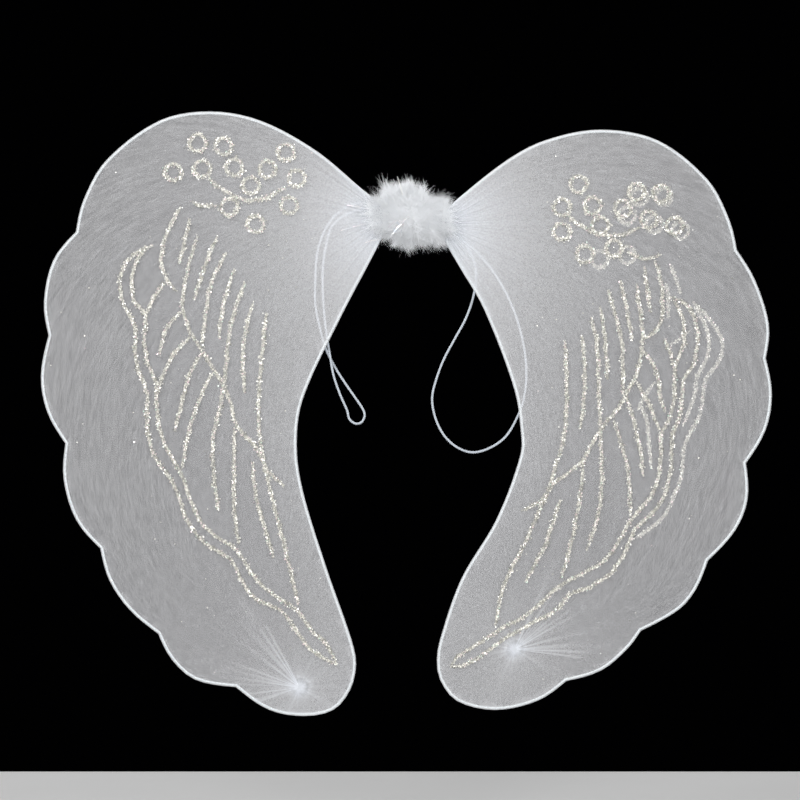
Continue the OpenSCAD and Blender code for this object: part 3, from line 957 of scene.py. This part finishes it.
def make_flakes(name, places, front, tilt, body):
    """Six-sided flakes at the places, each turned and tilted at random."""
    count = len(places)
    out = np.array([0, -1.0 if front else 1.0, 0])
    normal = out + rng.normal(0, tilt, (count, 3))
    normal /= norms(normal)[:, None]
    u = np.cross(normal, rng.normal(0, 1, (count, 3)))
    u /= norms(u)[:, None]
    v = np.cross(normal, u)
    radius = FLAKE_R * rng.uniform(0.55, 1.25, (count, 1, 1))
    a = np.arange(6) * pi / 3
    ring = np.cos(a)[None, :, None] * u[:, None] + np.sin(a)[None, :, None] * v[:, None]
    points = (places[:, None] + radius * ring).reshape(-1, 3)
    faces = np.arange(count * 6).reshape(-1, 6)
    flakes = new_mesh(name, points, faces, smooth=False)
    # A random value for each flake that picks its colour; its low end gives flakes painted dark as
    # painted shade.
    set_attribute(flakes, "hue_and_shade", np.repeat(rng.random(count), 6))
    finish_with(flakes, "flakes")
    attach(flakes, body)


def wander(places):
    """Moves places to and fro along X and Z, so that rings and lines look hand-drawn."""
    x, z = places[:, 0] / MM, places[:, 2] / MM
    places[:, 0] += WANDER * np.sin(z / WAVES_X[0] + WAVE_MIX * np.sin(x / WAVES_X[1]))
    places[:, 2] += WANDER * np.sin(x / WAVES_Z[0] + WAVE_MIX * np.sin(z / WAVES_Z[1]))


def make_glitter(name):
    """The flakes on one wing's front: on its glue lines and rings, and loose specks."""
    for part, stray in STRAY.items():
        places = scatter(face_triangles(f"{name}_glitter_{part}", True), FLAKES_PER_MM2)
        places += rng.normal(0, 1, places.shape) * np.array([stray, 0, stray])
        wander(places)
        places[:, 1] -= rng.uniform(*RISE_MM, len(places)) * MM
        make_flakes(f"{name}_flakes_on_{part}", places, True, 0.36, f"{name}_wing")
    edge, middle = wings[name]
    low, high = edge.min(0), edge.max(0)
    loose = rng.uniform(low, high, (SPECKS * 3, 2))
    loose = loose[inside(loose, middle)][:SPECKS]
    loose = loose[np.abs(loose[:, 0]) > SPECKS_X]
    y = np.full(len(loose), -NYLON_HALF - 0.1 * MM)
    make_flakes(f"{name}_specks", columns(loose[:, 0], y, loose[:, 1]),
                True, 0.3, f"{name}_wing")


def make_back_glitter():
    """The flakes of the fainter pattern on the right wing's back layer."""
    places = scatter(face_triangles("right_glitter_back", False), BACK_FLAKES_PER_MM2)
    stray = np.array([STRAY_BACK_MM, 0, STRAY_BACK_MM])
    places += rng.normal(0, 1, places.shape) * stray * MM
    places[:, 1] += rng.uniform(*RISE_BACK_MM, len(places)) * MM
    make_flakes("right_back_flakes", places, False, 0.35, "right_wing")


for name in SIDES:
    make_glitter(name)
make_back_glitter()


# ---- down ----
CLUMPS = 60
PLUMES_IN_CLUMP = 4
BARBS = 120
BARB_POINTS = 4
BARB_WIDTH_MM = (0.07, 0.14)
QUILL_STEPS = 8
QUILL_WIDTH = 0.22 * MM
CORE_R = 6.5 * MM
CORE_HALF = 11 * MM
MAT_R = 11.5 * MM
# The down leans: its top is pushed to the left and its bottom to the right
LEAN = -0.2
LEAN_SHIFT = -1.5 * MM


class Strands:
    """Thin tapering ribbons, collected into one mesh."""

    def __init__(self):
        self.points, self.faces, self.tips, self.count = [], [], [], 0

    def add(self, lines, widths, seed_normals):
        """lines is (strand, point, xyz), widths each strand's width at its root."""
        n, k, _ = lines.shape
        ahead = np.diff(lines, axis=1)
        ahead = np.concatenate([ahead, ahead[:, -1:]], axis=1)
        across = np.cross(ahead, seed_normals[:, None])
        across /= np.linalg.norm(across, axis=2, keepdims=True) + 1e-12
        taper = np.linspace(1, 0.25, k)[None, :, None] * widths[:, None, None] / 2
        both = np.stack([lines - across * taper, lines + across * taper], axis=2)
        self.points.append(both.reshape(-1, 3))
        self.tips.append(np.tile(np.repeat(np.linspace(0, 1, k), 2), n))
        first = self.count + np.arange(n)[:, None] * 2 * k + np.arange(k - 1)[None] * 2
        first = first.reshape(-1, 1)
        self.faces.append(first + np.array([[0, 1, 3, 2]]))
        self.count += n * 2 * k

    def piece(self, name, lean=0.0, shift=0.0):
        points = np.vstack(self.points)
        points[:, 0] += points[:, 2] * lean + shift
        made = new_mesh(name, points, np.vstack(self.faces))
        set_attribute(made, "tip", np.concatenate(self.tips))
        return made


def unit_rows(v):
    return v / (np.linalg.norm(v, axis=-1, keepdims=True) + 1e-12)


def curved(roots, sizes, aims, curls, count):
    """A curved line from each root, as (strand, point, xyz), with count points in each."""
    s = np.linspace(0, 1, count)[None, :, None]
    return roots[:, None] + sizes[:, None] * (aims[:, None] * s + curls[:, None] * s**2)


def facing(count):
    """Normals for ribbons that mostly turn their flat sides to the front and the back."""
    return unit_rows(np.array([0, 1.0, 0]) + rng.normal(0, 0.45, (count, 3)))


def grow_plume(strands, quills, root, out, length):
    """One small marabou feather: a curved quill with limp barbs down both sides."""
    bend = unit_rows(np.cross(out, rng.normal(0, 1, 3)))
    t = np.linspace(0, 1, QUILL_STEPS + 1)[:, None]
    quill = root + length * (out * t + bend * 0.2 * t**2)
    quills.add(quill[None], np.array([QUILL_WIDTH]), facing(1))
    at = rng.uniform(0.05, 1.0, BARBS)
    index = at * QUILL_STEPS
    low = np.minimum(index.astype(int), QUILL_STEPS - 1)
    share = (index - low)[:, None]
    start = quill[low] * (1 - share) + quill[low + 1] * share
    along = unit_rows(quill[low + 1] - quill[low])
    flat = unit_rows(np.cross(along, bend))
    side = rng.choice([-1.0, 1.0], BARBS)[:, None]
    lean = rng.uniform(0.7, 1.8, (BARBS, 1))
    aim = unit_rows(flat * side + along * lean + rng.normal(0, 0.3, (BARBS, 3)))
    size = length * rng.uniform(0.25, 0.55, (BARBS, 1)) * (1.1 - 0.6 * at[:, None])
    curl = rng.normal(0, 0.25, (BARBS, 3)) + along * 0.4
    lines = curved(start, size, aim, curl, BARB_POINTS)
    lines += rng.normal(0, 0.25 * MM, lines.shape) * np.linspace(0, 1, BARB_POINTS)[None, :, None]
    strands.add(lines, rng.uniform(*BARB_WIDTH_MM, BARBS) * MM, facing(BARBS))


def make_down_mat():
    """The matted middle of the down, under its loose barbs: a lumpy closed shape."""
    rows, turns = 40, 90
    x = np.linspace(-1, 1, rows)
    a = np.arange(turns) * 2 * pi / turns
    points = []
    for share in x:
        lumps = 0.06 * np.sin(5 * a + 9 * share) + 0.05 * np.sin(8 * a - 7 * share + 1)
        r = MAT_R * (1 - abs(share) ** 3) ** 0.5 * (1 + lumps)
        z = r * np.cos(a)
        along = share * (CORE_HALF + 2 * MM) + z * LEAN + LEAN_SHIFT
        points.append(columns(along, r * np.sin(a), z))
    mat = new_mesh("down_mat", np.vstack(points), ring_quads(rows, turns))
    set_attribute(mat, "tip", np.zeros(rows * turns))
    finish_with(mat, "down")
    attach(mat, "hub")


make_down_mat()


# Plumes that reach past this go to a wing's side of the down
GROUP_REACH = 15 * MM
# Short fluff in a shell round the core and out over each neck: group, strands, X at both ends,
# radius at both ends, and how much taller than deep it gets
FLUFF = (
    ("middle", 14000, 0, -CORE_HALF, MAT_R + 3 * MM, MAT_R, 1.0),
    ("middle", 14000, 0, CORE_HALF, MAT_R + 3 * MM, MAT_R, 1.0),
    ("left", 5000, -CORE_HALF, -27 * MM, MAT_R * 0.8, 3.5 * MM, 2.0),
    ("right", 5000, CORE_HALF, 25 * MM, MAT_R * 0.8, 3.5 * MM, 2.0),
)
FLUFF_WIDTH_MM = (0.1, 0.2)
FLUFF_LENGTH_MM = (3, 8)


def grow_clump(groups):
    """Plumes that stand together: a round crown above, a shorter fringe with a few long tufts
    below. Those at the front and the back lie down."""
    clump_x = rng.uniform(-1, 1) * CORE_HALF
    clump_turn = rng.uniform(0, 2 * pi)
    up = math.cos(clump_turn)
    splay = 0.2 if up > 0.2 else 0.75
    clump_lean = clump_x / CORE_HALF * rng.uniform(0.0, splay)
    if abs(up) < 0.6:
        clump_lean += rng.normal(0, 1.1)
    tuft = 1.25 if up < -0.3 and rng.random() < 0.15 else 1.0
    clump_length = (11 + 3.6 * up**2 + 1.6 * up) * tuft * rng.uniform(0.93, 1.07) * MM
    for _ in range(PLUMES_IN_CLUMP):
        x = np.clip(clump_x + rng.normal(0, 1.6 * MM), -CORE_HALF, CORE_HALF)
        turn = clump_turn + rng.normal(0, 0.24)
        around = np.array([0, math.sin(turn), math.cos(turn)])
        root = np.array([x, 0, 0]) + around * CORE_R
        out = unit_rows(around + np.array([clump_lean + rng.normal(0, 0.14), 0, 0]))
        length = clump_length * rng.uniform(0.82, 1.02)
        reach = x + out[0] * length
        group = "left" if reach < -GROUP_REACH else "right" if reach > GROUP_REACH else "middle"
        grow_plume(*groups[group], root, out, length)


def add_fluff(strands, count, near_x, far_x, near_r, far_r, flare):
    share = rng.random(count)
    x = near_x + (far_x - near_x) * share
    turn = rng.uniform(0, 2 * pi, count)
    around = columns(np.zeros(count), np.sin(turn), np.cos(turn))
    radius = near_r + (far_r - near_r) * share + rng.uniform(0, 3 * MM, count)
    root = around * radius[:, None]
    root[:, 2] *= 1 + (flare - 1) * share
    root[:, 0] = x
    loose = rng.normal(0, 1, (count, 3)) + np.array([np.sign(far_x), 0, 0])
    along = unit_rows(loose - 0.75 * (loose * around).sum(1, keepdims=True) * around)
    aim = unit_rows(along + around * 0.25)
    size = rng.uniform(*FLUFF_LENGTH_MM, (count, 1)) * MM
    curl = rng.normal(0, 0.3, (count, 3))
    lines = curved(root, size, aim, curl, BARB_POINTS)
    turned = unit_rows(around + rng.normal(0, 0.35, (count, 3)))
    strands.add(lines, rng.uniform(*FLUFF_WIDTH_MM, count) * MM, turned)


def make_down():
    """The middle rides on the hub, its fluff as a piece of its own, and each side is a piece of its
    own, left in place."""
    groups = {name: (Strands(), Strands()) for name in ("left", "middle", "right")}
    fluff = {"left": groups["left"][0], "middle": Strands(), "right": groups["right"][0]}
    for _ in range(CLUMPS):
        grow_clump(groups)
    for group, *rest in FLUFF:
        add_fluff(fluff[group], *rest)
    piece = fluff["middle"].piece("middle_fluff", LEAN, LEAN_SHIFT)
    finish_with(piece, "down")
    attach(piece, "hub")
    for name, (strands, quills) in groups.items():
        for part, material, made in (("down", "down", strands), ("quills", "quill", quills)):
            piece = made.piece(f"{name}_{part}", LEAN, LEAN_SHIFT)
            finish_with(piece, material)
            if name == "middle":
                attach(piece, "hub")
            else:
                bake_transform(piece)
            if name == "middle" and part == "down":
                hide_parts("feather_boa")


make_down()


# Loose strands that lie on the left wing beside its neck, as X and Z in millimetres
LOOSE_STRANDS = [
    [(-44, 8.2), (-38, 7.4), (-33, 6.2), (-27, 5.2)],
    [(-48, -8.5), (-42, -6.6), (-36, -5), (-31, -3.6)],
    [(-32, -16.5), (-28, -15), (-24, -14.6), (-21, -13.5)],
]


LOOSE_LIFT = 1.6 * MM
TINSEL = 20
TINSEL_LENGTH_MM = (4, 9)
# Where tinsel starts at the down's lower left, and where its first two strands do, in mm
TINSEL_ROOT = (-9.5, -21.5, -6.5)
FIRST_ROOTS = ((-3.5, -23, -1), (-5, -23, -2))
STRAY_QUILL = [(-7.5, -12, 14), (-8.6, -13, 18.5), (-9.8, -13.6, 22.5), (-11, -14, 26)]


def finish_strands(strands, name, material, body):
    piece = strands.piece(name)
    finish_with(piece, material)
    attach(piece, body)


def make_tinsel():
    """Iridescent film caught in the down, a stray quill, and loose strands on the left wing."""
    tinsel, stray, loose = Strands(), Strands(), Strands()
    root = np.array(TINSEL_ROOT) * MM + rng.normal(0, 1.5, (TINSEL, 3)) * MM
    root[:2] = np.array(FIRST_ROOTS) * MM
    aim = unit_rows(np.array([-0.7, 0, -0.66]) + rng.normal(0, 0.32, (TINSEL, 3)))
    size = rng.uniform(*TINSEL_LENGTH_MM, (TINSEL, 1)) * MM
    curl = rng.normal(0, 0.25, (TINSEL, 3))
    tinsel.add(curved(root, size, aim, curl, 8), np.full(TINSEL, 0.3 * MM), facing(TINSEL))
    finish_strands(tinsel, "tinsel", "tinsel", "hub")
    quill = np.array(STRAY_QUILL)
    stray.add(quill[None] * MM, np.array([0.7 * MM]), np.array([[0, 1.0, 0.2]]))
    finish_strands(stray, "stray_quill", "quill", "hub")
    for line in LOOSE_STRANDS:
        path = np.array([(x * MM, -NYLON_HALF - LOOSE_LIFT, z * MM) for x, z in line])
        loose.add(path[None], np.array([0.35 * MM]), np.array([[0, 1.0, 0.1]]))
    finish_strands(loose, "left_loose_strands", "tinsel", "left_wing")


make_tinsel()


# ---- stage ----
# Each light's place, size and power in watts. All of them point at the middle of the wings.
LIGHTS = {
    "key": ((-1.0, -1.5, 0.9), 0.9, 24),
    "fill": ((1.2, -1.4, 0.3), 0.9, 12),
    "front": ((-0.1, -1.9, 0.25), 0.6, 13.5),
    "top": ((0.1, -0.2, 1.3), 0.7, 5),
    "back_left": ((-0.9, 1.2, 0.5), 0.7, 7),
    "back_right": ((0.9, 1.2, 0.4), 0.7, 7),
}
FLOOR_DROP = 0.095          # below the CAD's lowest point
FLOOR_X = 1.1
FLOOR_Y = (-1.0, 0.35)
NEAR_BLACK = (0.0003, 0.0003, 0.0004, 1)


def make_stage():
    middle = (cad_box[0] + cad_box[1]) / 2
    floor_z = cad_box[0][2] - FLOOR_DROP
    near, far = FLOOR_Y
    corners = ((-FLOOR_X, near), (FLOOR_X, near), (FLOOR_X, far), (-FLOOR_X, far))
    floor = new_mesh("floor", [(x, y, floor_z) for x, y in corners], [(0, 1, 2, 3)])
    floor.data.materials.append(floor_material())
    for name, (location, size, power) in LIGHTS.items():
        data = bpy.data.lights.new(name, "AREA")
        data.energy = power
        data.size = size
        light = bpy.data.objects.new(name, data)
        scene.collection.objects.link(light)
        light.location = location
        light.rotation_euler = (middle - Vector(location)).to_track_quat("-Z", "Y").to_euler()
    world = bpy.data.worlds.new("studio")
    world.use_nodes = True
    world.node_tree.nodes["Background"].inputs["Color"].default_value = NEAR_BLACK
    scene.world = world
    scene.view_settings.view_transform = "Standard"


make_stage()
